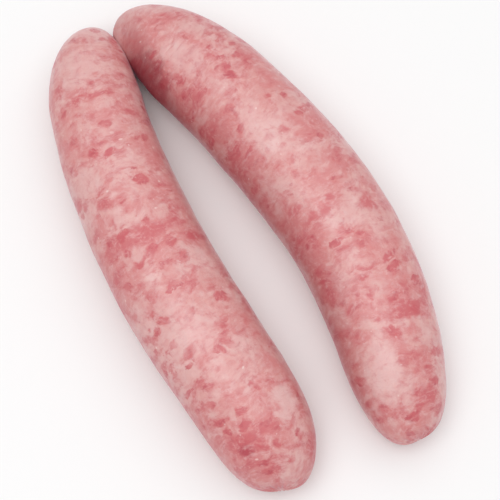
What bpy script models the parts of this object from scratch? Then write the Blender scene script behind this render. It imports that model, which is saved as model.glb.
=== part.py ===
"""A string of two raw sausage links, folded so that they lie side by side.

The links are one casing, twisted shut between them. Each link bends in plan, rounds off and droops
at both ends, and is pressed a little flat where it lies. The back link's joined end is pushed into
the front link's side, and the twist lies low in the fold between the two ends.

Run it with blender --background --python part.py. Lengths are metres, angles degrees, and +Z is up.
The string lies on the plane z = 0, with the origin under the middle of its outline in plan.
"""

import math
from dataclasses import dataclass

import bmesh
import bpy
import numpy as np
from mathutils import Matrix, Vector

# Driving dimensions that both links share.
HEIGHT_SHARE = 0.94  # height of a section over its width: soft meat settles under its own weight
PRESSED_DEPTH = 0.0008  # how much of the underside is pressed flat
DROOP_REACH = 1.3  # length over which an end droops, in lengths of its rounded cap
GAP = 0.0003  # clear space kept between pieces that touch

# Density of the meshes.
LINK_SEGMENTS = 40
LINK_RINGS = 48
TWIST_SEGMENTS = 24
TWIST_RINGS = 24
CENTRELINE_STEPS = 400


@dataclass(frozen=True)
class Link:
    """A filled length of casing, measured from its joined end to its free end.

    headings are directions of travel from +X, and half_widths are without the rounded ends. Both
    hold their values at even stations along the length. caps are the lengths of the two rounded
    ends, and fullness is each one's power: 2 makes an ellipse, and more is blunter. droops are how
    far the axis sinks towards each end.
    """

    name: str
    tip: tuple[float, float]
    length: float
    headings: tuple[float, ...]
    half_widths: tuple[float, ...]
    caps: tuple[float, float]
    fullness: tuple[float, float]
    droops: tuple[float, float]


@dataclass(frozen=True)
class Twist:
    """The twisted casing between the links: a short lobed rope along a bowed path.

    root and end lie inside the two links, and bow is the point that the path leans towards.
    """

    name: str
    root: tuple[float, float, float]
    bow: tuple[float, float, float]
    end: tuple[float, float, float]
    radius: float
    lobes: int
    lobe_depth: float
    turns: float


FRONT = Link(
    name="link_front",
    tip=(-0.0455, 0.0717),
    length=0.1532,
    headings=(-110.0, -71.5, -62.7, -56.0, -85.0),
    half_widths=(0.0132, 0.0144, 0.0157, 0.0156, 0.0137),
    caps=(0.0300, 0.0275),
    fullness=(2.15, 2.7),
    droops=(0.0040, 0.0030),
)
BACK = Link(
    name="link_back",
    tip=(-0.0414, 0.0720),
    length=0.1600,
    headings=(-10.0, -46.0, -54.0, -71.0, -65.0),
    half_widths=(0.0129, 0.0155, 0.0163, 0.0153, 0.0132),
    caps=(0.0410, 0.0370),
    fullness=(2.55, 2.8),
    droops=(0.0040, 0.0030),
)
TWIST = Twist(
    name="casing_twist",
    root=(-0.0484, 0.0633, 0.0034),
    bow=(-0.0414, 0.0713, 0.0008),
    end=(-0.0324, 0.0653, 0.0034),
    radius=0.0018,
    lobes=3,
    lobe_depth=0.12,
    turns=1.5,
)


def through(values, share):
    """Read the smooth curve through values at even stations, at a share of its length."""
    stations = np.linspace(0.0, 1.0, len(values))
    return np.polyval(np.polyfit(stations, values, len(values) - 1), share)


def rounding(distance, cap, fullness):
    """Share of the full width at a distance from the end of a rounded cap."""
    left = 1.0 - min(distance / cap, 1.0)
    return (1.0 - left**fullness) ** (1.0 / fullness)


def droop(distance, cap, depth):
    """How far the axis has sunk at a distance from an end."""
    left = max(1.0 - distance / (cap * DROOP_REACH), 0.0)
    return depth * left**2


class Centreline:
    """A link's centreline in plan, found by travelling along its headings from the tip."""

    def __init__(self, link):
        self.shares = np.linspace(0.0, 1.0, CENTRELINE_STEPS + 1)
        self.angles = np.radians(through(link.headings, self.shares))
        step = link.length / CENTRELINE_STEPS
        self.x = link.tip[0] + self.travelled(np.cos(self.angles)) * step
        self.y = link.tip[1] + self.travelled(np.sin(self.angles)) * step

    @staticmethod
    def travelled(speeds):
        """Running sum of the mean speed over each step."""
        return np.concatenate([[0.0], np.cumsum((speeds[1:] + speeds[:-1]) / 2.0)])

    def at(self, share):
        """Plan point and unit vector to the right of travel at a share of the length."""
        angle = float(np.interp(share, self.shares, self.angles))
        place = Vector((np.interp(share, self.shares, self.x), np.interp(share, self.shares, self.y), 0.0))
        return place, Vector((math.sin(angle), -math.cos(angle), 0.0))


def mapped_sphere(segments, rings, place):
    """A closed mesh: a sphere whose vertices go to place(share from pole to pole, angle round it)."""
    mesh = bmesh.new()
    bmesh.ops.create_uvsphere(mesh, u_segments=segments, v_segments=rings, radius=1.0)
    for vertex in mesh.verts:
        share = min(max((1.0 - vertex.co.z) / 2.0, 0.0), 1.0)
        vertex.co = place(share, math.atan2(vertex.co.y, vertex.co.x))
    mesh.normal_update()
    return mesh


def link_mesh(link):
    """A link, with its underside pressed flat on z = 0."""
    centreline = Centreline(link)

    def place(share, angle):
        from_ends = (share * link.length, (1.0 - share) * link.length)
        full_width = float(through(link.half_widths, share))
        ends = list(zip(from_ends, link.caps, link.fullness, link.droops, strict=True))
        radius = full_width * math.prod(rounding(distance, cap, power) for distance, cap, power, _ in ends)
        drop = sum(droop(distance, cap, depth) for distance, cap, _, depth in ends)
        axis_height = full_width * HEIGHT_SHARE - PRESSED_DEPTH - drop
        point, right = centreline.at(share)
        point += right * math.cos(angle) * radius
        point.z = max(axis_height + math.sin(angle) * radius * HEIGHT_SHARE, 0.0)
        return point

    return mapped_sphere(LINK_SEGMENTS, LINK_RINGS, place)


def twist_mesh(twist):
    """The twist: a lobed section that turns as it follows the bowed path."""
    root, bow, end = Vector(twist.root), Vector(twist.bow), Vector(twist.end)

    def place(share, angle):
        point = root * (1.0 - share) ** 2 + bow * 2.0 * share * (1.0 - share) + end * share**2
        forward = ((bow - root) * (1.0 - share) + (end - bow) * share).normalized()
        right = forward.cross(Vector((0.0, 0.0, 1.0))).normalized()
        up = right.cross(forward)
        end_round = math.sqrt(max(1.0 - (2.0 * share - 1.0) ** 8, 0.0))
        lobe = 1.0 + twist.lobe_depth * math.cos(twist.lobes * (angle - math.tau * twist.turns * share))
        radius = twist.radius * end_round * lobe
        return point + (right * math.cos(angle) + up * math.sin(angle)) * radius

    return mapped_sphere(TWIST_SEGMENTS, TWIST_RINGS, place)


def swell(mesh, distance):
    """Push every vertex out along its normal."""
    for vertex in mesh.verts:
        vertex.co += vertex.normal * distance
    return mesh


def material(name, colour, roughness):
    """A Principled material with a constant colour."""
    made = bpy.data.materials.new(name)
    made.use_nodes = True
    shader = made.node_tree.nodes["Principled BSDF"]
    shader.inputs["Base Color"].default_value = (*colour, 1.0)
    shader.inputs["Roughness"].default_value = roughness
    shader.inputs["Metallic"].default_value = 0.0
    made.diffuse_color = (*colour, 1.0)
    return made


def add_object(name, mesh, collection, surface=None):
    """Put a mesh in the scene as a smooth-shaded object."""
    data = bpy.data.meshes.new(name)
    mesh.to_mesh(data)
    mesh.free()
    data.shade_smooth()
    if surface:
        data.materials.append(surface)
    made = bpy.data.objects.new(name, data)
    collection.objects.link(made)
    return made


def add_cutter(name, mesh, collection):
    """A copy of a piece, grown by the gap, that cuts its neighbours and isn't rendered."""
    made = add_object(name, swell(mesh, GAP), collection)
    made.hide_render = True
    made.display_type = "WIRE"
    return made


def cut(piece, cutter):
    """Take the cutter away from the piece."""
    modifier = piece.modifiers.new(f"clear_of_{cutter.name}", "BOOLEAN")
    modifier.operation = "DIFFERENCE"
    modifier.solver = "EXACT"
    modifier.object = cutter


def stand_on_origin(pieces, cutters):
    """Move all the meshes so that the pieces' box stands on the origin, centred in plan."""
    points = np.array([vertex.co for piece in pieces for vertex in piece.data.vertices])
    low, high = points.min(axis=0), points.max(axis=0)
    middle = Vector(((low[0] + high[0]) / 2.0, (low[1] + high[1]) / 2.0, low[2]))
    for made in pieces + cutters:
        made.data.transform(Matrix.Translation(-middle))


def clear_scene():
    """Remove the objects that the scene starts with."""
    for old in list(bpy.data.objects):
        bpy.data.objects.remove(old, do_unlink=True)


def add_collection(name):
    """A new collection in the scene."""
    made = bpy.data.collections.new(name)
    bpy.context.scene.collection.children.link(made)
    return made


def main():
    """Build the links and the twist, and cut each clear of its neighbours."""
    clear_scene()
    parts = add_collection("string_of_sausage_links")
    helpers = add_collection("cutters")
    meat = material("raw_meat_in_casing", (0.69, 0.33, 0.31), 0.40)
    casing = material("twisted_casing", (0.72, 0.47, 0.42), 0.35)

    front = add_object(FRONT.name, link_mesh(FRONT), parts, meat)
    back = add_object(BACK.name, link_mesh(BACK), parts, meat)
    twist = add_object(TWIST.name, twist_mesh(TWIST), parts, casing)
    front_room = add_cutter("front_room", link_mesh(FRONT), helpers)
    back_room = add_cutter("back_room", link_mesh(BACK), helpers)

    cut(back, front_room)
    cut(twist, front_room)
    cut(twist, back_room)
    stand_on_origin([front, back, twist], [front_room, back_room])


main()
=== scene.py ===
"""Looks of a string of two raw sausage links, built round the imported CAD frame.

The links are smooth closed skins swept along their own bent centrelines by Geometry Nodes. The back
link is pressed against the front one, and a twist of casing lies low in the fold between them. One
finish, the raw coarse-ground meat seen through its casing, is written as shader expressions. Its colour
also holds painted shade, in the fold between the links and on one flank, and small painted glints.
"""

from __future__ import annotations

import logging
import math
from dataclasses import dataclass, field
from enum import Enum
from typing import Any, Sequence

import bpy
import numpy as np
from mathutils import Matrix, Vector

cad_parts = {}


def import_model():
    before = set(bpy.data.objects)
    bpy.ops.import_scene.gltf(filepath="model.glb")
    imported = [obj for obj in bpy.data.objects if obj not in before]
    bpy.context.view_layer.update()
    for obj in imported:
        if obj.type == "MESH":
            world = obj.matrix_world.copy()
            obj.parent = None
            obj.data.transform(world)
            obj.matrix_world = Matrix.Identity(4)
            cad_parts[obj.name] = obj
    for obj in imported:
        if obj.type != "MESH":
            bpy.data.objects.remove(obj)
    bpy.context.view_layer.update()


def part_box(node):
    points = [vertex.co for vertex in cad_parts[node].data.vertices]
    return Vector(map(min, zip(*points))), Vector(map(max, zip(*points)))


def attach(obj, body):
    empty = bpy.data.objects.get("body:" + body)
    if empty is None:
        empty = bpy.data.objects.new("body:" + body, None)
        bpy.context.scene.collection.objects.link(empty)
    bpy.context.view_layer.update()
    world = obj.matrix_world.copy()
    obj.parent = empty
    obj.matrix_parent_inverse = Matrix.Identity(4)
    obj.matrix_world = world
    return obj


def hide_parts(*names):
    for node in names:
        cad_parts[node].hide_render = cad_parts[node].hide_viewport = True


LOG = logging.getLogger("sausage_string")
BODY = "root"
MM = 0.001
UNBENT = "unbent"  # point attribute: place on the link as if it were straight, in metres
NEARNESS = "nearness"  # point attribute: 1 against the neighbouring link, 0 away from it
UP = (0.0, 0.0, 1.0)


class Piece(Enum):
    """The pieces of the string, by the names of the CAD nodes that they stand for."""

    FRONT = "link_front"
    BACK = "link_back"
    TWIST = "casing_twist"


class Slot(Enum):
    """The record's material slots."""

    FRONT = "front_link_meat"
    BACK = "back_link_meat"
    TWIST = "twisted_casing"


class LinkEnd(Enum):
    """A link's two ends."""

    JOINED = "Joined"
    FREE = "Free"


class LampShape(Enum):
    """Outline of a studio lamp's panel."""

    SQUARE = "SQUARE"


def linear(red: float, green: float, blue: float) -> tuple[float, float, float, float]:
    """Turn a display colour into the linear colour that a shader takes.

    Args:
        red: Display red, 0 to 255.
        green: Display green, 0 to 255.
        blue: Display blue, 0 to 255.

    Returns:
        Linear red, green, blue and a full alpha.
    """
    shares = (value / 255.0 for value in (red, green, blue))
    turned = (s / 12.92 if s <= 0.04045 else ((s + 0.055) / 1.055) ** 2.4 for s in shares)
    return (*turned, 1.0)


class Wire:
    """A node's output, which takes part in Python arithmetic by adding Math nodes."""

    def __init__(self, graph: Graph, socket: bpy.types.NodeSocket) -> None:
        """Wrap a socket of the graph."""
        self.graph = graph
        self.socket = socket

    def math(self, operation: str, *others: Wire | float) -> Wire:
        """Add a Math node on this value and the others."""
        values = dict(enumerate((self, *others)))
        return self.graph.node("ShaderNodeMath", {"operation": operation}, values)

    def __add__(self, other: Wire | float) -> Wire:
        """This plus other."""
        return self.math("ADD", other)

    def __sub__(self, other: Wire | float) -> Wire:
        """This minus other."""
        return self.math("SUBTRACT", other)

    def __mul__(self, other: Wire | float) -> Wire:
        """This times other."""
        return self.math("MULTIPLY", other)

    def __truediv__(self, other: Wire | float) -> Wire:
        """This over other."""
        return self.math("DIVIDE", other)

    def __pow__(self, other: Wire | float) -> Wire:
        """This to the power of other."""
        return self.math("POWER", other)

    def __rsub__(self, other: float) -> Wire:
        """A number minus this."""
        return self.graph.node("ShaderNodeMath", {"operation": "SUBTRACT"}, {0: other, 1: self})

    def __rtruediv__(self, other: float) -> Wire:
        """A number over this."""
        return self.graph.node("ShaderNodeMath", {"operation": "DIVIDE"}, {0: other, 1: self})

    __radd__ = __add__
    __rmul__ = __mul__

    def least(self, other: Wire | float) -> Wire:
        """The smaller of this and other."""
        return self.math("MINIMUM", other)

    def most(self, other: Wire | float) -> Wire:
        """The larger of this and other."""
        return self.math("MAXIMUM", other)

    def root(self) -> Wire:
        """Square root."""
        return self.math("SQRT")

    def cos(self) -> Wire:
        """Cosine."""
        return self.math("COSINE")

    def step(self, low: Wire | float, high: Wire | float) -> Wire:
        """Rise smoothly from 0 at low to 1 at high."""
        settings = {"interpolation_type": "SMOOTHSTEP"}
        values = {"Value": self, "From Min": low, "From Max": high}
        return self.graph.node("ShaderNodeMapRange", settings, values)


class Graph:
    """Writes the nodes of one shader or geometry tree."""

    def __init__(self, tree: bpy.types.NodeTree) -> None:
        """Start from an empty tree."""
        self.tree = tree
        tree.nodes.clear()

    def node(
        self, kind: str, settings: dict[str, Any], values: dict[str | int, Any], output: str | int = 0
    ) -> Wire:
        """Add one node.

        Args:
            kind: The node's type.
            settings: The node's own properties, set before its sockets.
            values: Values or wires of its input sockets, by name or number.
            output: The output wanted, by name or number.

        Returns:
            That output.
        """
        made = self.tree.nodes.new(kind)
        for key, value in settings.items():
            setattr(made, key, value)
        for key, value in values.items():
            self.feed(made.inputs[key], value)
        return Wire(self, made.outputs[output])

    def feed(self, socket: bpy.types.NodeSocket, value: Any) -> None:
        """Link a wire to a socket, or set the socket's own value.

        Args:
            socket: The input socket.
            value: A wire, or a plain value.
        """
        if isinstance(value, Wire):
            self.tree.links.new(value.socket, socket)
        else:
            socket.default_value = value

    def beside(self, wire: Wire, output: str | int) -> Wire:
        """Another output of the node that a wire comes from."""
        return Wire(self, wire.socket.node.outputs[output])

    def vector(self, operation: str, *values: Any, output: str | int = 0) -> Wire:
        """Add a Vector Math node."""
        return self.node("ShaderNodeVectorMath", {"operation": operation}, dict(enumerate(values)), output)

    def scaled(self, vector: Wire, scale: Wire | float) -> Wire:
        """A vector times a number."""
        return self.node("ShaderNodeVectorMath", {"operation": "SCALE"}, {0: vector, "Scale": scale})

    def split(self, vector: Wire) -> tuple[Wire, Wire, Wire]:
        """The three parts of a vector."""
        first = self.node("ShaderNodeSeparateXYZ", {}, {0: vector})
        return first, self.beside(first, 1), self.beside(first, 2)

    def joined(self, x: Wire | float, y: Wire | float, z: Wire | float) -> Wire:
        """A vector from its three parts."""
        return self.node("ShaderNodeCombineXYZ", {}, {0: x, 1: y, 2: z})

    def mix(self, share: Wire | float, first: Any, second: Any) -> Wire:
        """Blend two colours: all first at 0, all second at 1."""
        return self.node("ShaderNodeMix", {"data_type": "RGBA"}, {0: share, 6: first, 7: second}, 2)

    def elsewhere(self, place: Wire, seed: Wire | float) -> Wire:
        """Move a place far off, so that a seed gives its own pattern."""
        return self.vector("ADD", place, self.joined(seed * 31.7, seed * -17.3, seed * 11.9))

    def noise(
        self, place: Wire, size: float, detail: float = 2.0, seed: Wire | float = 0.0, rough: float = 0.55
    ) -> Wire:
        """Smooth noise from 0 to 1, whose lumps are about size across.

        Args:
            place: Where to read the noise.
            size: Width of its lumps.
            detail: How many finer layers it has.
            seed: Picks the pattern.
            rough: How strong the finer layers are.

        Returns:
            The noise.
        """
        values = {
            "Vector": self.elsewhere(place, seed),
            "Scale": 1.0 / size,
            "Detail": detail,
            "Roughness": rough,
        }
        return self.node("ShaderNodeTexNoise", {"noise_dimensions": "3D"}, values, 0)

    def spots(self, place: Wire, spacing: float, share: float, radius: float, seed: float) -> Wire:
        """Scatter soft round spots of mixed sizes.

        Args:
            place: Where to read the pattern.
            spacing: Distance between the places where a spot may lie.
            share: Share of those places that hold a spot.
            radius: The mean spot's radius, in spacings.
            seed: Picks the pattern.

        Returns:
            1 inside a spot and 0 outside.
        """
        values = {"Vector": self.elsewhere(place, seed), "Scale": 1.0 / spacing}
        distance = self.node("ShaderNodeTexVoronoi", {"feature": "F1"}, values, "Distance")
        held = self.node("ShaderNodeSeparateColor", {}, {0: self.beside(distance, "Color")})
        width = (self.beside(held, 1) * 0.9 + 0.55) * radius
        inside = (width - distance).step(-0.06, 0.12)
        return inside * held.step(1.0 - share, 1.02 - share)


class GeometryTree(Graph):
    """A Geometry Nodes tree with named inputs, set on a piece by socket identifier."""

    def __init__(self, name: str) -> None:
        """Make the tree with its geometry sockets.

        Args:
            name: The tree's name.
        """
        tree = bpy.data.node_groups.new(name, "GeometryNodeTree")
        super().__init__(tree)
        tree.interface.new_socket("Geometry", in_out="INPUT", socket_type="NodeSocketGeometry")
        tree.interface.new_socket("Geometry", in_out="OUTPUT", socket_type="NodeSocketGeometry")
        self.start = tree.nodes.new("NodeGroupInput")

    def ask(self, name: str, kind: str = "Float") -> Wire:
        """Add a named input of a kind, such as Float, Int, Object or Material."""
        self.tree.interface.new_socket(name, in_out="INPUT", socket_type=f"NodeSocket{kind}")
        return Wire(self, self.start.outputs[name])

    def ball(self, segments: Wire, rings: Wire) -> Wire:
        """A sphere of radius 1, whose vertices are then moved to a guide."""
        values = {"Segments": segments, "Rings": rings, "Radius": 1.0}
        return self.node("GeometryNodeMeshUVSphere", {}, values)

    def moved(self, geometry: Wire, socket: str, vector: Wire) -> Wire:
        """Set the points' Position, or move them by an Offset."""
        return self.node("GeometryNodeSetPosition", {}, {"Geometry": geometry, socket: vector})

    def close(self, geometry: Wire, material: Wire) -> None:
        """End the tree with smooth shading, realized instances and the material.

        Args:
            geometry: The finished shape.
            material: Its material.
        """
        smooth = self.node("GeometryNodeSetShadeSmooth", {}, {0: geometry})
        real = self.node("GeometryNodeRealizeInstances", {}, {0: smooth})
        dressed = self.node("GeometryNodeSetMaterial", {}, {"Geometry": real, "Material": material})
        end = self.tree.nodes.new("NodeGroupOutput")
        self.tree.links.new(dressed.socket, end.inputs[0])

    def put_on(self, piece: bpy.types.Object, values: dict[str, Any]) -> None:
        """Add the tree to a piece as a modifier, with its inputs set.

        Args:
            piece: The object to shape.
            values: The inputs' values, by name.
        """
        modifier = piece.modifiers.new(self.tree.name, "NODES")
        modifier.node_group = self.tree
        asked = (item for item in self.tree.interface.items_tree if item.in_out == "INPUT")
        sockets = {item.name: item.identifier for item in asked}
        for name, value in values.items():
            modifier[sockets[name]] = value


def settled(name: str, source: bpy.types.Object) -> bpy.types.Object:
    """Turn an object with modifiers into a plain mesh piece, and drop the source.

    Args:
        name: The new piece's name.
        source: The object that carries the modifiers.

    Returns:
        The plain mesh piece, at the origin.
    """
    graph = bpy.context.evaluated_depsgraph_get()
    mesh = bpy.data.meshes.new_from_object(source.evaluated_get(graph))
    mesh.name = name
    bpy.data.objects.remove(source)
    made = bpy.data.objects.new(name, mesh)
    bpy.context.scene.collection.objects.link(made)
    return made


def bare_host(name: str) -> bpy.types.Object:
    """An empty mesh object for a Geometry Nodes modifier.

    Args:
        name: The object's name.

    Returns:
        The object.
    """
    host = bpy.data.objects.new(name, bpy.data.meshes.new(name))
    bpy.context.scene.collection.objects.link(host)
    return host


def guide_curve(name: str, points: np.ndarray, widths: np.ndarray) -> bpy.types.Object:
    """A guide for Geometry Nodes: a line with a half-width at each point.

    Args:
        name: The guide's name.
        points: Its points, one row each.
        widths: The half-width at each point, kept as the curve's radius.

    Returns:
        The curve object.
    """
    data = bpy.data.curves.new(name, "CURVE")
    data.dimensions = "3D"
    spline = data.splines.new("POLY")
    spline.points.add(len(points) - 1)
    for made, point, width in zip(spline.points, points, widths, strict=True):
        made.co = (*point, 1.0)
        made.radius = width
    guide = bpy.data.objects.new(name, data)
    bpy.context.scene.collection.objects.link(guide)
    return guide


class Tone(Enum):
    """Tones of the meat, by the names of the finish's colours; the darkest red tone is painted shade, not a
    tone of the meat.
    """

    FAT = "fat"
    LEAN = "lean"
    DEEP = "deep"
    PAINTED_SHADE = "flushed"


@dataclass(frozen=True)
class Chunk:
    """One large patch that shows through the casing: a piece of fat or lean, or a patch of painted shade.
    Sizes are millimetres.

    along is from the joined end, and angle is round the link: 0 on the right of travel, 90 on top.
    """

    tone: Tone
    along: float
    angle: float
    length: float
    breadth: float
    strength: float = 0.8
    depth: float = 14.0

    def mask(self, graph: Graph, place: Wire, ragged: Wire) -> Wire:
        """Where the chunk shows.

        Args:
            graph: The material's graph.
            place: Place on the straightened link, in mm.
            ragged: Noise that frays the chunk's edge.

        Returns:
            Its strength inside, and 0 outside.
        """
        turn = math.radians(self.angle)
        centre = (self.along, math.cos(turn) * self.depth, math.sin(turn) * self.depth)
        offset = graph.vector("SUBTRACT", place, centre)
        scale = (2.0 / self.length, 2.0 / self.breadth, 2.0 / self.breadth)
        far = graph.vector("LENGTH", graph.vector("MULTIPLY", offset, scale), output="Value")
        return (1.0 - (far + (ragged - 0.5) * 1.8).step(0.55, 1.30)) * self.strength


@dataclass(frozen=True)
class MeatFinish:
    """Raw coarse-ground meat seen through a moist casing, with painted shade and painted glints in its
    colour. Colours are display values, sizes mm.
    """

    name: str
    pink: tuple[float, float, float] = (217, 153, 150)
    pale: tuple[float, float, float] = (223, 174, 171)
    fat: tuple[float, float, float] = (230, 190, 187)
    rosy: tuple[float, float, float] = (212, 130, 130)
    lean: tuple[float, float, float] = (202, 97, 103)
    deep: tuple[float, float, float] = (184, 72, 84)
    # Dark red painted shade, not a tone of the meat: laid in the fold against the other link and along one
    # flank's edge.
    flushed: tuple[float, float, float] = (132, 36, 50)
    # Pale colour of painted glints on the wet casing.
    painted_glint: tuple[float, float, float] = (240, 218, 214)
    seed: float = 0.0
    # Sign and strength of the flank that is painted darker as shade: leaner, less fatty and, at its edge,
    # painted shade.
    flank_shade: float = 0.0
    # Distance from the joined end past which the meat turns leaner, darker towards the free end.
    darker_end_from: float = 132.0
    # Strength of the painted shade in the fold against the neighbouring link.
    crevice_shade: float = 0.2
    chunks: tuple[Chunk, ...] = ()

    def build(self) -> bpy.types.Material:
        """Write the material's nodes.

        Returns:
            The material.
        """
        material = bpy.data.materials.new(self.name)
        material.use_nodes = True
        graph = Graph(material.node_tree)
        unbent = graph.node("ShaderNodeAttribute", {"attribute_name": UNBENT}, {}, "Vector")
        place = graph.scaled(unbent, 1.0 / MM)
        shader = self.shader(graph, self.colour(graph, place))
        self.gloss(graph, place, shader)
        end = material.node_tree.nodes.new("ShaderNodeOutputMaterial")
        graph.feed(end.inputs["Surface"], shader)
        return material

    def squeezed(self, graph: Graph, place: Wire, times: float) -> Wire:
        """Draw a pattern out round the link, by shortening it along the link."""
        return graph.vector("MULTIPLY", place, (times, 1.0, 1.0))

    def warped(self, graph: Graph, place: Wire, size: float, amount: float, seed: float) -> Wire:
        """Push a place about by noise of a size, up to an amount.

        Args:
            graph: The material's graph.
            place: The place to push, in mm.
            size: Width of the noise's lumps.
            amount: The longest push.
            seed: Picks the pattern.

        Returns:
            The pushed place.
        """
        values = {"Vector": graph.elsewhere(place, self.seed + seed), "Scale": 1.0 / size, "Detail": 2.0}
        push = graph.node("ShaderNodeTexNoise", {"noise_dimensions": "3D"}, values, "Color")
        centred = graph.vector("SUBTRACT", push, (0.5, 0.5, 0.5))
        return graph.vector("ADD", place, graph.scaled(centred, amount))

    def colour(self, graph: Graph, place: Wire) -> Wire:
        """Lay the meat's tones over each other, from broad to small, then paint shade on one flank and in
        the fold against the other link.

        Args:
            graph: The material's graph.
            place: Place on the straightened link, in mm.

        Returns:
            The meat's colour.
        """
        seed = self.seed
        soft = self.warped(graph, place, 9.0, 5.0, 1.0)
        chunky = self.squeezed(graph, soft, 1.35)
        banded = self.squeezed(graph, soft, 2.0)
        torn = self.warped(graph, chunky, 1.8, 1.3, 2.0)
        along, sideways, _ = graph.split(place)
        # Painted shade on one flank: toward it the meat turns leaner and less fatty. The meat also turns
        # leaner towards the free end.
        inside = (sideways * self.flank_shade).step(4.0, 15.0)
        flank_shade_and_dark_end = inside.most(along.step(self.darker_end_from - 10.0, self.darker_end_from + 14.0))

        broad = graph.noise(soft, 14.0, 3.0, seed + 3.0)
        colour = graph.mix(broad.step(0.40, 0.60), linear(*self.pink), linear(*self.pale))
        fatty = graph.noise(torn, 8.0, 5.0, seed + 5.0, 0.65).step(0.50, 0.72)
        colour = graph.mix(fatty * (0.75 - inside * 0.4), colour, linear(*self.fat))
        ruddy = graph.noise(chunky, 12.0, 5.0, seed + 4.0, 0.6) + flank_shade_and_dark_end * 0.06
        colour = graph.mix(ruddy.step(0.44, 0.64) * 0.8, colour, linear(*self.rosy))

        swaths = (graph.noise(banded, 11.0, 5.0, seed + 6.0, 0.6) + flank_shade_and_dark_end * 0.04).step(0.51, 0.70)
        patches = (graph.noise(torn, 6.0, 5.0, seed + 7.0, 0.65) + flank_shade_and_dark_end * 0.05).step(0.51, 0.70)
        crowd = graph.noise(place, 17.0, 2.0, seed + 8.0).step(0.36, 0.60)
        lean = (swaths * 0.8).most(patches * 0.85 * (crowd * 0.7 + 0.3))
        colour = graph.mix(lean, colour, linear(*self.lean))

        ragged = self.warped(graph, torn, 1.0, 1.2, 19.0)
        dark = graph.spots(ragged, 5.5, 0.68, 0.32, seed + 9.0)
        colour = graph.mix(dark * (crowd * 0.75 + 0.15), colour, linear(*self.lean))
        darkest = graph.noise(ragged, 2.2, 2.0, seed + 20.0).step(0.50, 0.66) * (dark * 0.5 + lean * 0.5)
        colour = graph.mix(darkest * 0.85, colour, linear(*self.deep))
        light = graph.spots(torn, 6.0, 0.22, 0.20, seed + 10.0)
        colour = graph.mix(light * 0.5, colour, linear(*self.fat))
        fray = graph.noise(self.squeezed(graph, place, 1.4), 4.0, 4.0, seed + 21.0, 0.6)
        for chunk in self.chunks:
            tone = getattr(self, chunk.tone.value)
            colour = graph.mix(chunk.mask(graph, place, fray), colour, linear(*tone))
        colour = self.fine(graph, soft, colour)
        near = graph.node("ShaderNodeAttribute", {"attribute_name": NEARNESS}, {}, "Fac")
        # Painted shade along the edge of the shaded flank.
        colour = graph.mix(inside * inside * 0.27, colour, linear(*self.flushed))
        # Painted shade in the fold against the neighbouring link, spreading wider away from the joined tip.
        deeper = along.step(2.0, 20.0) * 0.7 + 0.3
        return graph.mix(near**0.8 * deeper * self.crevice_shade, colour, linear(*self.flushed))

    def fine(self, graph: Graph, place: Wire, colour: Wire) -> Wire:
        """Draw the strands that run round the link, hairline wrinkles, a fine mottle and small painted
        glints.

        Args:
            graph: The material's graph.
            place: Place on the straightened link, in mm.
            colour: The colour so far.

        Returns:
            The colour with the fine marks.
        """
        seed = self.seed
        strands = graph.noise(self.squeezed(graph, place, 3.2), 4.5, 5.0, seed + 11.0, 0.65)
        colour = graph.mix(strands.step(0.51, 0.74) * 0.45, colour, linear(*self.fat))
        colour = graph.mix((1.0 - strands).step(0.53, 0.76) * 0.40, colour, linear(*self.lean))
        mottle = graph.noise(place, 2.0, 5.0, seed + 12.0, 0.7)
        colour = graph.mix(mottle.step(0.50, 0.75) * 0.50, colour, linear(*self.fat))
        colour = graph.mix((1.0 - mottle).step(0.50, 0.78) * 0.50, colour, linear(*self.lean))
        vein = graph.noise(self.squeezed(graph, place, 1.8), 6.0, 2.0, seed + 13.0)
        line = 1.0 - ((vein - 0.5).math("ABSOLUTE")).step(0.002, 0.012)
        where = graph.noise(place, 10.0, 1.0, seed + 14.0).step(0.56, 0.66)
        colour = graph.mix(line * where * 0.2, colour, linear(*self.lean))
        # Painted highlight: small clustered pale specks stand in for glints on the wet casing.
        glint_specks = graph.spots(place, 1.5, 0.16, 0.20, seed + 17.0)
        glint_cluster = graph.noise(place, 6.0, 2.0, seed + 18.0).step(0.52, 0.62)
        return graph.mix(glint_specks * glint_cluster * 0.6, colour, linear(*self.painted_glint))

    def shader(self, graph: Graph, colour: Wire) -> Wire:
        """The meat's surface, with what is the same all over it.

        Args:
            graph: The material's graph.
            colour: The meat's colour.

        Returns:
            The shader.
        """
        values = {
            "Base Color": colour,
            "Subsurface Weight": 0.18,
            "Subsurface Radius": (1.0, 0.35, 0.25),
            "Subsurface Scale": 0.002,
            "Specular IOR Level": 0.45,
            "Sheen Weight": 0.22,
            "Sheen Roughness": 0.30,
            "Sheen Tint": linear(220, 188, 218),
            "Coat Roughness": 0.25,
            "Coat IOR": 1.40,
        }
        return graph.node("ShaderNodeBsdfPrincipled", {}, values)

    def gloss(self, graph: Graph, place: Wire, shader: Wire) -> None:
        """Make the moist casing's gloss soft and uneven, over faint lumps.

        Args:
            graph: The material's graph.
            place: Place on the straightened link, in mm.
            shader: The shader to set.
        """
        sockets = shader.socket.node.inputs
        wet = graph.noise(place, 7.0, 3.0, self.seed + 15.0)
        graph.feed(sockets["Roughness"], wet * -0.3 + 0.58)
        graph.feed(sockets["Coat Weight"], wet.step(0.40, 0.70) * 0.35 + 0.13)
        grain = graph.noise(place, 2.4, 6.0, self.seed + 16.0, 0.65)
        bump = graph.node("ShaderNodeBump", {}, {"Strength": 0.30, "Distance": 0.0006, "Height": grain})
        graph.feed(sockets["Normal"], bump)


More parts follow.
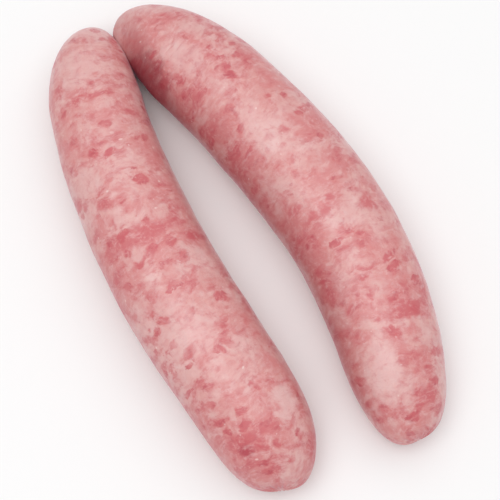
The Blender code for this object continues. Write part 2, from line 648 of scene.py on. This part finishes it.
@dataclass(frozen=True)
class CasingFinish:
    """Twisted empty casing: pale, moist and a little see-through. Colours are display values."""

    name: str
    pale: tuple[float, float, float] = (228, 196, 186)
    rosy: tuple[float, float, float] = (206, 140, 134)

    def build(self) -> bpy.types.Material:
        """Write the material's nodes.

        Returns:
            The material.
        """
        material = bpy.data.materials.new(self.name)
        material.use_nodes = True
        graph = Graph(material.node_tree)
        unbent = graph.node("ShaderNodeAttribute", {"attribute_name": UNBENT}, {}, "Vector")
        place = graph.scaled(unbent, 1.0 / MM)
        patches = graph.noise(place, 1.4, 3.0)
        colour = graph.mix(patches.step(0.40, 0.65), linear(*self.rosy), linear(*self.pale))
        bump = graph.node("ShaderNodeBump", {}, {"Strength": 0.3, "Distance": 0.0003, "Height": patches})
        values = {
            "Base Color": colour,
            "Roughness": patches * -0.2 + 0.48,
            "Subsurface Weight": 0.2,
            "Subsurface Radius": (1.0, 0.5, 0.4),
            "Subsurface Scale": 0.0015,
            "Coat Weight": 0.35,
            "Coat Roughness": 0.25,
            "Normal": bump,
        }
        shader = graph.node("ShaderNodeBsdfPrincipled", {}, values)
        end = material.node_tree.nodes.new("ShaderNodeOutputMaterial")
        graph.feed(end.inputs["Surface"], shader)
        return material


def through(values: Sequence[float], share: np.ndarray) -> np.ndarray:
    """Read the smooth curve through values at even stations.

    Args:
        values: The values at the stations.
        share: Shares of the length to read at.

    Returns:
        The curve's values there.
    """
    stations = np.linspace(0.0, 1.0, len(values))
    return np.polyval(np.polyfit(stations, values, len(values) - 1), share)


class SweptSkin:
    """The Geometry Nodes tree that sweeps a filled casing along a guide.

    A sphere's vertices go to the guide: height on the sphere becomes share of the length, and the
    angle round the sphere becomes the angle round the guide.
    """

    def __init__(self) -> None:
        """Write the tree."""
        graph = GeometryTree("filled_casing")
        self.graph = graph
        segments, rings = graph.ask("Segments", "Int"), graph.ask("Rings", "Int")
        guide, length = graph.ask("Guide", "Object"), graph.ask("Length")
        ends = [(graph.ask(f"{end.value} Cap"), graph.ask(f"{end.value} Fullness")) for end in LinkEnd]
        flatness, soft_edge = graph.ask("Height Share"), graph.ask("Pressed Edge")
        lump_height, lump_size = graph.ask("Lump Height"), graph.ask("Lump Size")
        seed, material = graph.ask("Seed"), graph.ask("Material", "Material")

        ball = graph.ball(segments, rings)
        across, upward, height = graph.split(graph.node("GeometryNodeInputPosition", {}, {}))
        share = ((1.0 - height) * 0.5).most(0.0).least(1.0)
        reach = (across * across + upward * upward).root().most(1e-6)
        axis, tangent, width = self.sampled(guide, share)
        radius = width
        for (cap, fullness), distance in zip(ends, (share * length, (1.0 - share) * length), strict=True):
            left = 1.0 - (distance / cap).least(1.0)
            radius = radius * (1.0 - left**fullness).most(0.0) ** (1.0 / fullness)
        right = graph.vector("NORMALIZE", graph.vector("CROSS_PRODUCT", tangent, UP))
        side, rise = across / reach * radius, upward / reach * radius
        place = graph.vector("ADD", axis, graph.scaled(right, side))
        place = graph.vector("ADD", place, graph.joined(0.0, 0.0, rise * flatness))
        unbent = graph.joined(share * length, side, rise)
        kept = self.kept(ball, unbent)
        skin = graph.moved(kept, "Position", place)
        skin = self.lumped(skin, lump_height, lump_size, seed)
        for end in LinkEnd:
            skin = self.puckered(skin, end)
        graph.close(self.laid_down(skin, soft_edge), material)

    def sampled(self, guide: Wire, share: Wire) -> tuple[Wire, Wire, Wire]:
        """Point, tangent and half-width of the guide at a share of its length.

        Args:
            guide: The guide's object.
            share: Share of its length.

        Returns:
            The point, the tangent and the half-width.
        """
        graph = self.graph
        curve = graph.node("GeometryNodeObjectInfo", {}, {"Object": guide}, "Geometry")
        width = graph.node("GeometryNodeInputRadius", {}, {})
        values = {"Curves": curve, "Value": width, "Factor": share}
        read = graph.node("GeometryNodeSampleCurve", {"mode": "FACTOR"}, values, "Value")
        return graph.beside(read, "Position"), graph.beside(read, "Tangent"), read

    def kept(self, mesh: Wire, unbent: Wire) -> Wire:
        """Store the place on the straightened link on each point."""
        settings = {"data_type": "FLOAT_VECTOR", "domain": "POINT"}
        return self.graph.node(
            "GeometryNodeStoreNamedAttribute", settings, {"Geometry": mesh, "Name": UNBENT, "Value": unbent}
        )

    def lumped(self, skin: Wire, height: Wire, size: Wire, seed: Wire) -> Wire:
        """Swell the skin over the chunks of meat inside it.

        Args:
            skin: The link's skin so far.
            height: How far the lumps range.
            size: Their width.
            seed: Picks the pattern.

        Returns:
            The lumped skin.
        """
        graph = self.graph
        place = graph.node("GeometryNodeInputPosition", {}, {})
        normal = graph.node("GeometryNodeInputNormal", {}, {})
        broad = graph.noise(graph.scaled(place, 1.0 / size), 1.0, 1.0, seed)
        fine = graph.noise(graph.scaled(place, 1.0 / size), 0.3, 1.0, seed + 5.0)
        swell = (broad - 0.5 + (fine - 0.5) * 0.25) * height
        return graph.moved(skin, "Offset", graph.scaled(normal, swell))

    def puckered(self, skin: Wire, end: LinkEnd) -> Wire:
        """Gather the casing in pleats round the point where it is drawn shut.

        Args:
            skin: The link's skin so far.
            end: Which end of the link.

        Returns:
            The gathered skin.
        """
        graph, name = self.graph, end.value
        centre, axis = graph.ask(f"{name} Gather", "Vector"), graph.ask(f"{name} Gather Axis", "Vector")
        reach, draw = graph.ask(f"{name} Gather Reach"), graph.ask(f"{name} Gather Draw")
        depth, pleats = graph.ask(f"{name} Pleat Depth"), graph.ask(f"{name} Pleats")
        spoke = graph.vector("SUBTRACT", graph.node("GeometryNodeInputPosition", {}, {}), centre)
        level = graph.vector("NORMALIZE", graph.vector("CROSS_PRODUCT", axis, UP))
        upright = graph.vector("CROSS_PRODUCT", level, axis)
        across = graph.vector("DOT_PRODUCT", spoke, level, output="Value")
        along = graph.vector("DOT_PRODUCT", spoke, upright, output="Value")
        far = graph.vector("LENGTH", spoke, output="Value") / reach
        fade = (far * far * -1.0).math("EXPONENT")
        wave = (along.math("ARCTAN2", across) * pleats).cos()
        height = fade * (draw + wave * depth * (far * 2.0).least(1.0))
        normal = graph.node("GeometryNodeInputNormal", {}, {})
        return graph.moved(skin, "Offset", graph.scaled(normal, height))

    def laid_down(self, skin: Wire, soft_edge: Wire) -> Wire:
        """Press the underside flat on the surface that the link lies on.

        Args:
            skin: The link's skin so far.
            soft_edge: How softly the flat part begins.

        Returns:
            The pressed skin.
        """
        graph = self.graph
        x, y, z = graph.split(graph.node("GeometryNodeInputPosition", {}, {}))
        pressed = (z + (z * z + soft_edge * soft_edge).root()) * 0.5
        return graph.moved(skin, "Position", graph.joined(x, y, pressed))


class PressedSkin:
    """The Geometry Nodes tree that presses a soft skin clear of its neighbour."""

    def __init__(self) -> None:
        """Write the tree."""
        graph = GeometryTree("pressed_against")
        self.graph = graph
        skin = Wire(graph, graph.start.outputs["Geometry"])
        neighbour, gap = graph.ask("Neighbour", "Object"), graph.ask("Gap")
        softness, reach = graph.ask("Softness"), graph.ask("Nearness Reach")
        bulge_below, bulge_above = graph.ask("Bulge Below"), graph.ask("Bulge Above")
        bulge_reach, waist, dip = graph.ask("Bulge Reach"), graph.ask("Waist"), graph.ask("Dip")
        press, material = graph.ask("Press"), graph.ask("Material", "Material")

        mesh = graph.node("GeometryNodeObjectInfo", {}, {"Object": neighbour}, "Geometry")
        place = graph.node("GeometryNodeInputPosition", {}, {})
        settings, values = {"target_element": "FACES"}, {0: mesh, "Sample Position": place}
        nearest = graph.node("GeometryNodeProximity", settings, values)
        normal = graph.node("GeometryNodeInputNormal", {}, {})
        settings = {"data_type": "FLOAT_VECTOR"}
        values = {"Mesh": mesh, "Value": normal, "Sample Position": place}
        outward = graph.node("GeometryNodeSampleNearestSurface", settings, values)
        away = graph.vector("SUBTRACT", place, nearest)
        clear = graph.vector("DOT_PRODUCT", away, outward, output="Value") - gap
        wanted = (clear + (clear * clear + softness * softness).root()) * 0.5
        closeness = (wanted * wanted / (bulge_reach * bulge_reach) * -1.0).math("EXPONENT")
        above = graph.split(place)[2].step(waist * 0.7, waist * 1.4)
        wanted = wanted * (1.0 - closeness * (bulge_below + (bulge_above - bulge_below) * above))
        push = graph.scaled(outward, (wanted - clear) * press)
        near = 1.0 - graph.vector("LENGTH", away, output="Value").step(0.0, reach)
        settings = {"data_type": "FLOAT", "domain": "POINT"}
        stored = {"Geometry": skin, "Name": NEARNESS, "Value": near}
        skin = graph.node("GeometryNodeStoreNamedAttribute", settings, stored)
        push = graph.vector("ADD", push, graph.joined(0.0, 0.0, near * above * dip * press * -1.0))
        graph.close(graph.moved(skin, "Offset", push), material)


@dataclass(frozen=True)
class Gather:
    """Where the casing is drawn shut. Lengths are metres.

    A point is measured from the middle of the twist's box.
    """

    point: tuple[float, float, float] | None
    axis: tuple[float, float, float] | None
    reach: float
    draw: float
    depth: float
    pleats: int

    def inputs(self, end: LinkEnd, point: Vector, axis: Vector) -> dict[str, Any]:
        """The skin tree's inputs for this gather.

        Args:
            end: The link's end.
            point: Where the link's own axis ends, for a gather without a point.
            axis: Where the link's own axis heads there.

        Returns:
            Values by input name.
        """
        if self.point is not None:
            low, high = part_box(Piece.TWIST.value)
            point, axis = (low + high) / 2.0 + Vector(self.point), Vector(self.axis)
        return {
            f"{end.value} Gather": tuple(point),
            f"{end.value} Gather Axis": tuple(axis.normalized()),
            f"{end.value} Gather Reach": self.reach,
            f"{end.value} Gather Draw": self.draw,
            f"{end.value} Pleat Depth": self.depth,
            f"{end.value} Pleats": float(self.pleats),
        }


@dataclass
class SausageLink:
    """One filled link. Lengths are metres, and angles are degrees from +X.

    The joined end's tip is measured from the low-x, high-y corner of the CAD node's box. Headings and
    half-widths are values at even stations from the joined end to the free end.
    """

    piece: Piece
    slot: Slot
    finish: MeatFinish
    tip_from_corner: tuple[float, float]
    length: float
    headings: tuple[float, ...]
    half_widths: tuple[float, ...]
    caps: tuple[float, float]
    fullness: tuple[float, float]
    gathers: tuple[Gather, Gather]
    droops: tuple[float, float] = (0.0040, 0.0030)
    height_share: float = 0.94
    pressed_depth: float = 0.0008
    pressed_edge: float = 0.0004
    droop_reach: float = 1.3
    lump_height: float = 0.0007
    lump_size: float = 0.016
    seed: float = 0.0
    segments: int = 192
    rings: int = 480
    guide_steps: int = 240

    def axis(self) -> tuple[np.ndarray, np.ndarray]:
        """The link's bent and drooping axis, and its half-width along it.

        Returns:
            The axis's points, and the half-width at each.
        """
        low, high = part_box(self.piece.value)
        share = np.linspace(0.0, 1.0, self.guide_steps + 1)
        angle = np.radians(through(self.headings, share))
        width = through(self.half_widths, share)
        step = self.length / self.guide_steps
        x = low.x + self.tip_from_corner[0] + self.travelled(np.cos(angle)) * step
        y = high.y - self.tip_from_corner[1] + self.travelled(np.sin(angle)) * step
        z = width * self.height_share - self.pressed_depth
        for distance, cap, depth in zip(
            (share * self.length, (1.0 - share) * self.length), self.caps, self.droops, strict=True
        ):
            z = z - depth * np.clip(1.0 - distance / (cap * self.droop_reach), 0.0, 1.0) ** 2
        return np.column_stack((x, y, z)), width

    @staticmethod
    def travelled(speeds: np.ndarray) -> np.ndarray:
        """Running sum of the mean speed over each step."""
        return np.concatenate([[0.0], np.cumsum((speeds[1:] + speeds[:-1]) / 2.0)])

    def build(
        self, skin: SweptSkin, press: PressedSkin, neighbour: bpy.types.Object, pressed: bool
    ) -> bpy.types.Object:
        """Sweep the link, press it against its neighbour and dress it.

        Args:
            skin: The tree that sweeps the casing.
            press: The tree that presses it clear of the neighbour.
            neighbour: The other link.
            pressed: Whether this link gives way to the other.

        Returns:
            The finished piece.
        """
        points, widths = self.axis()
        guide = guide_curve(f"{self.piece.value}_guide", points, widths)
        host = bare_host(f"{self.piece.value}_host")
        material = self.finish.build()
        values = {
            "Segments": self.segments,
            "Rings": self.rings,
            "Guide": guide,
            "Length": self.length,
            "Joined Cap": self.caps[0],
            "Joined Fullness": self.fullness[0],
            "Free Cap": self.caps[1],
            "Free Fullness": self.fullness[1],
            "Height Share": self.height_share,
            "Pressed Edge": self.pressed_edge,
            "Lump Height": self.lump_height,
            "Lump Size": self.lump_size,
            "Seed": self.seed,
            "Material": material,
        }
        start, end = Vector(points[0]), Vector(points[-1])
        values |= self.gathers[0].inputs(LinkEnd.JOINED, start, start - Vector(points[1]))
        values |= self.gathers[1].inputs(LinkEnd.FREE, end, end - Vector(points[-2]))
        skin.graph.put_on(host, values)
        against = {
            "Neighbour": neighbour,
            "Gap": 0.0001,
            "Softness": 0.0003,
            "Nearness Reach": 0.012,
            "Bulge Below": 0.18,
            "Bulge Above": 0.45,
            "Bulge Reach": 0.0045,
            "Dip": 0.0035,
            "Waist": 0.012,
            "Press": float(pressed),
            "Material": material,
        }
        press.graph.put_on(host, against)
        made = settled(f"{self.piece.value}_skin", host)
        bpy.data.objects.remove(guide)
        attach(made, BODY)
        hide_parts(self.piece.value)
        return made


@dataclass
class CasingTwist:
    """The twisted casing between the links: a ridged rope whose ends flare into them."""

    finish: CasingFinish
    start: tuple[float, float, float] = (-0.0072, -0.0044, 0.0013)
    bow: tuple[float, float, float] = (-0.0001, 0.0036, -0.0013)
    end: tuple[float, float, float] = (0.0088, -0.0024, 0.0013)
    radius: float = 0.0016
    flare: float = 0.8
    ridges: int = 4
    ridge_depth: float = 0.16
    turns: float = 2.5
    segments: int = 96
    rings: int = 160
    guide_steps: int = 60

    def tree(self) -> GeometryTree:
        """The tree that winds a ridged section along a guide.

        Returns:
            The tree.
        """
        graph = GeometryTree("twisted_casing")
        segments, rings = graph.ask("Segments", "Int"), graph.ask("Rings", "Int")
        guide, ridges = graph.ask("Guide", "Object"), graph.ask("Ridges")
        depth, turns = graph.ask("Ridge Depth"), graph.ask("Turns")
        material = graph.ask("Material", "Material")

        ball = graph.ball(segments, rings)
        across, upward, height = graph.split(graph.node("GeometryNodeInputPosition", {}, {}))
        share = ((1.0 - height) * 0.5).most(0.0).least(1.0)
        curve = graph.node("GeometryNodeObjectInfo", {}, {"Object": guide}, "Geometry")
        values = {"Curves": curve, "Value": graph.node("GeometryNodeInputRadius", {}, {}), "Factor": share}
        width = graph.node("GeometryNodeSampleCurve", {"mode": "FACTOR"}, values, "Value")
        axis, tangent = graph.beside(width, "Position"), graph.beside(width, "Tangent")
        angle = upward.math("ARCTAN2", across)
        ridge = ((angle - share * turns * math.tau) * ridges).cos() * depth + 1.0
        closed = (1.0 - (share * 2.0 - 1.0) ** 12.0).most(0.0).root()
        radius = width * ridge * closed
        right = graph.vector("NORMALIZE", graph.vector("CROSS_PRODUCT", tangent, UP))
        above = graph.vector("CROSS_PRODUCT", right, tangent)
        reach = (across * across + upward * upward).root().most(1e-6)
        side, rise = across / reach * radius, upward / reach * radius
        place = graph.vector("ADD", axis, graph.scaled(right, side))
        place = graph.vector("ADD", place, graph.scaled(above, rise))
        settings = {"data_type": "FLOAT_VECTOR", "domain": "POINT"}
        stored = {"Geometry": ball, "Name": UNBENT, "Value": place}
        kept = graph.node("GeometryNodeStoreNamedAttribute", settings, stored)
        graph.close(graph.moved(kept, "Position", place), material)
        return graph

    def build(self) -> bpy.types.Object:
        """Wind the twist between the links and dress it.

        Returns:
            The finished piece.
        """
        low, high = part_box(Piece.TWIST.value)
        middle = (low + high) / 2.0
        start, bow, end = (middle + Vector(place) for place in (self.start, self.bow, self.end))
        share = np.linspace(0.0, 1.0, self.guide_steps + 1)[:, None]
        points = np.array(start) * (1 - share) ** 2 + np.array(end) * share**2
        points += np.array(bow) * 2 * share * (1 - share)
        widths = self.radius * (1.0 + self.flare * np.abs(2.0 * share[:, 0] - 1.0) ** 3)
        points[:, 2] = np.maximum(points[:, 2], widths * (1.0 + self.ridge_depth))
        guide = guide_curve("casing_twist_guide", points, widths)
        host = bare_host("casing_twist_host")
        values = {
            "Segments": self.segments,
            "Rings": self.rings,
            "Guide": guide,
            "Ridges": float(self.ridges),
            "Ridge Depth": self.ridge_depth,
            "Turns": self.turns,
            "Material": self.finish.build(),
        }
        self.tree().put_on(host, values)
        made = settled("casing_twist_rope", host)
        bpy.data.objects.remove(guide)
        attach(made, BODY)
        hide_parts(Piece.TWIST.value)
        return made


@dataclass(frozen=True)
class Lamp:
    """A white studio panel. Its place is from the string's middle, and it faces that middle."""

    name: str
    place: tuple[float, float, float]
    size: float
    power: float
    shape: LampShape = LampShape.SQUARE

    def build(self, aim: Vector) -> None:
        """Hang the lamp and turn it to the aim.

        Args:
            aim: The point that the lamp faces.
        """
        data = bpy.data.lights.new(self.name, "AREA")
        data.shape = self.shape.value
        data.size = self.size
        data.energy = self.power
        data.color = (1.0, 1.0, 1.0)
        lamp = bpy.data.objects.new(self.name, data)
        lamp.location = aim + Vector(self.place)
        lamp.rotation_euler = (aim - lamp.location).to_track_quat("-Z", "Y").to_euler()
        bpy.context.scene.collection.objects.link(lamp)


@dataclass
class Studio:
    """Pale floor, soft white light, and the camera."""

    floor_side: float = 6.0
    floor_drop: float = 0.0001
    floor_grey: float = 0.93
    surround: float = 0.53
    lens: float = 100.0
    sensor: float = 36.0
    elevation: float = 74.0
    distance: float = 0.397
    aim_shift: tuple[float, float, float] = (0.00244, -0.00529, 0.015)
    lamps: tuple[Lamp, ...] = field(
        default=(
            Lamp("key_panel", (-0.18, -0.16, 0.78), 0.55, 1.92),
            Lamp("top_panel", (0.08, 0.16, 0.85), 1.20, 3.7),
        )
    )

    def build(self) -> None:
        """Set the floor, the light and the camera."""
        self.floor()
        self.surroundings()
        aim = Vector(self.aim_shift)
        for lamp in self.lamps:
            lamp.build(aim)
        self.camera(aim)
        settings = bpy.context.scene.view_settings
        settings.view_transform = "Standard"

    def floor(self) -> None:
        """A plain pale floor, just under the string."""
        half = self.floor_side / 2.0
        mesh = bpy.data.meshes.new("floor")
        outline = ((-half, -half), (half, -half), (half, half), (-half, half))
        corners = [(x, y, -self.floor_drop) for x, y in outline]
        mesh.from_pydata(corners, [], [(0, 1, 2, 3)])
        material = bpy.data.materials.new("pale_floor")
        material.use_nodes = True
        graph = Graph(material.node_tree)
        grey = (self.floor_grey, self.floor_grey, self.floor_grey, 1.0)
        values = {"Base Color": grey, "Roughness": 0.7, "Specular IOR Level": 0.1}
        shader = graph.node("ShaderNodeBsdfPrincipled", {}, values)
        end = material.node_tree.nodes.new("ShaderNodeOutputMaterial")
        graph.feed(end.inputs["Surface"], shader)
        mesh.materials.append(material)
        floor = bpy.data.objects.new("floor", mesh)
        bpy.context.scene.collection.objects.link(floor)

    def surroundings(self) -> None:
        """An even white surround."""
        world = bpy.data.worlds.new("white_surround")
        world.use_nodes = True
        background = world.node_tree.nodes["Background"]
        background.inputs["Color"].default_value = (1.0, 1.0, 1.0, 1.0)
        background.inputs["Strength"].default_value = self.surround
        bpy.context.scene.world = world

    def camera(self, aim: Vector) -> None:
        """The camera, looking down on the string.

        Args:
            aim: The point that the camera faces.
        """
        data = bpy.data.cameras.new("camera")
        data.lens = self.lens
        data.sensor_width = self.sensor
        data.clip_start = 0.01
        camera = bpy.data.objects.new("camera", data)
        rise = math.radians(self.elevation)
        camera.location = aim + Vector((0.0, -math.cos(rise), math.sin(rise))) * self.distance
        camera.rotation_euler = (math.radians(90.0 - self.elevation), 0.0, 0.0)
        bpy.context.scene.collection.objects.link(camera)
        bpy.context.scene.camera = camera


@dataclass
class SausageString:
    """The whole string: two links and the twist between them."""

    front: SausageLink = field(
        default_factory=lambda: SausageLink(
            piece=Piece.FRONT,
            slot=Slot.FRONT,
            finish=MeatFinish(
                "front_link_meat",
                seed=20.0,
                # Painted shade on the flank to the right of travel, the outer one.
                flank_shade=0.65,
                crevice_shade=0.0,
                chunks=(
                    Chunk(Tone.FAT, 17.0, 80.0, 13.0, 15.0, 0.50),
                    Chunk(Tone.FAT, 60.0, 75.0, 3.0, 4.0, 0.85),
                    Chunk(Tone.LEAN, 74.0, 85.0, 6.0, 26.0, 0.75),
                    Chunk(Tone.LEAN, 80.0, 135.0, 6.0, 6.0, 0.85),
                    Chunk(Tone.FAT, 104.0, 75.0, 17.0, 13.0, 0.45),
                    Chunk(Tone.FAT, 133.0, 125.0, 9.0, 8.0, 0.75),
                    Chunk(Tone.LEAN, 140.0, 60.0, 9.0, 9.0, 0.60, 12.0),
                    Chunk(Tone.DEEP, 140.0, 58.0, 5.0, 4.5, 0.95, 12.5),
                ),
            ),
            tip_from_corner=(0.01434, 0.00039),
            length=0.1532,
            headings=(-110.0, -71.5, -62.7, -56.0, -85.0),
            half_widths=(0.0132, 0.0144, 0.0157, 0.0156, 0.0137),
            caps=(0.0300, 0.0275),
            fullness=(2.15, 2.7),
            gathers=(
                Gather((-0.0056, -0.0036, 0.0010), (0.75, 0.62, -0.2), 0.0062, 0.0006, 0.00055, 13),
                Gather(None, None, 0.0070, -0.0005, 0.00022, 17),
            ),
            seed=1.0,
        )
    )
    back: SausageLink = field(
        default_factory=lambda: SausageLink(
            piece=Piece.BACK,
            slot=Slot.BACK,
            finish=MeatFinish(
                "back_link_meat",
                seed=60.0,
                # Painted shade on the flank to the right of travel, the inner one that faces the front
                # link.
                flank_shade=1.0,
                darker_end_from=140.0,
                # Strong painted shade in the fold against the front link.
                crevice_shade=0.95,
                chunks=(
                    # A patch of painted shade on the inner flank by the joined end, beside the fold.
                    Chunk(Tone.PAINTED_SHADE, 21.0, 22.0, 22.0, 15.0, 0.50, 12.5),
                    Chunk(Tone.FAT, 30.0, 75.0, 16.0, 10.0, 0.50),
                    Chunk(Tone.FAT, 62.0, 78.0, 24.0, 10.0, 0.50),
                    Chunk(Tone.LEAN, 92.0, 72.0, 5.0, 9.0, 0.75),
                    Chunk(Tone.LEAN, 96.0, 120.0, 6.0, 8.0, 0.80),
                    Chunk(Tone.FAT, 113.0, 58.0, 15.0, 8.0, 0.35),
                    Chunk(Tone.LEAN, 126.0, 112.0, 5.5, 15.0, 0.90),
                    Chunk(Tone.FAT, 140.0, 68.0, 20.0, 9.0, 0.70, 13.0),
                    Chunk(Tone.LEAN, 150.0, 120.0, 5.0, 6.0, 0.70, 11.5),
                ),
            ),
            tip_from_corner=(0.00024, 0.00649),
            length=0.1600,
            headings=(-10.0, -46.0, -54.0, -71.0, -65.0),
            half_widths=(0.0129, 0.0155, 0.0163, 0.0153, 0.0132),
            caps=(0.0410, 0.0370),
            fullness=(2.55, 2.8),
            gathers=(
                Gather((0.0072, -0.0016, 0.0010), (-0.85, 0.45, -0.2), 0.0062, 0.0006, 0.00055, 11),
                Gather(None, None, 0.0065, -0.0005, 0.00022, 15),
            ),
            seed=2.0,
        )
    )
    twist: CasingTwist = field(default_factory=lambda: CasingTwist(CasingFinish("twisted_casing")))

    def build(self) -> list[bpy.types.Object]:
        """Build the front link, the back link against it, and the twist.

        Returns:
            The finished pieces.
        """
        skin, press = SweptSkin(), PressedSkin()
        front = self.front.build(skin, press, bpy.data.objects[Piece.BACK.value], pressed=False)
        back = self.back.build(skin, press, front, pressed=True)
        return [front, back, self.twist.build()]


def main() -> None:
    """Build the string and the studio round the frame."""
    logging.basicConfig(level=logging.INFO, format="%(name)s: %(message)s")
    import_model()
    for piece in SausageString().build():
        LOG.info("%s has %d faces", piece.name, len(piece.data.polygons))
    Studio().build()
    LOG.info("studio is set")


if __name__ == "__main__":
    main()
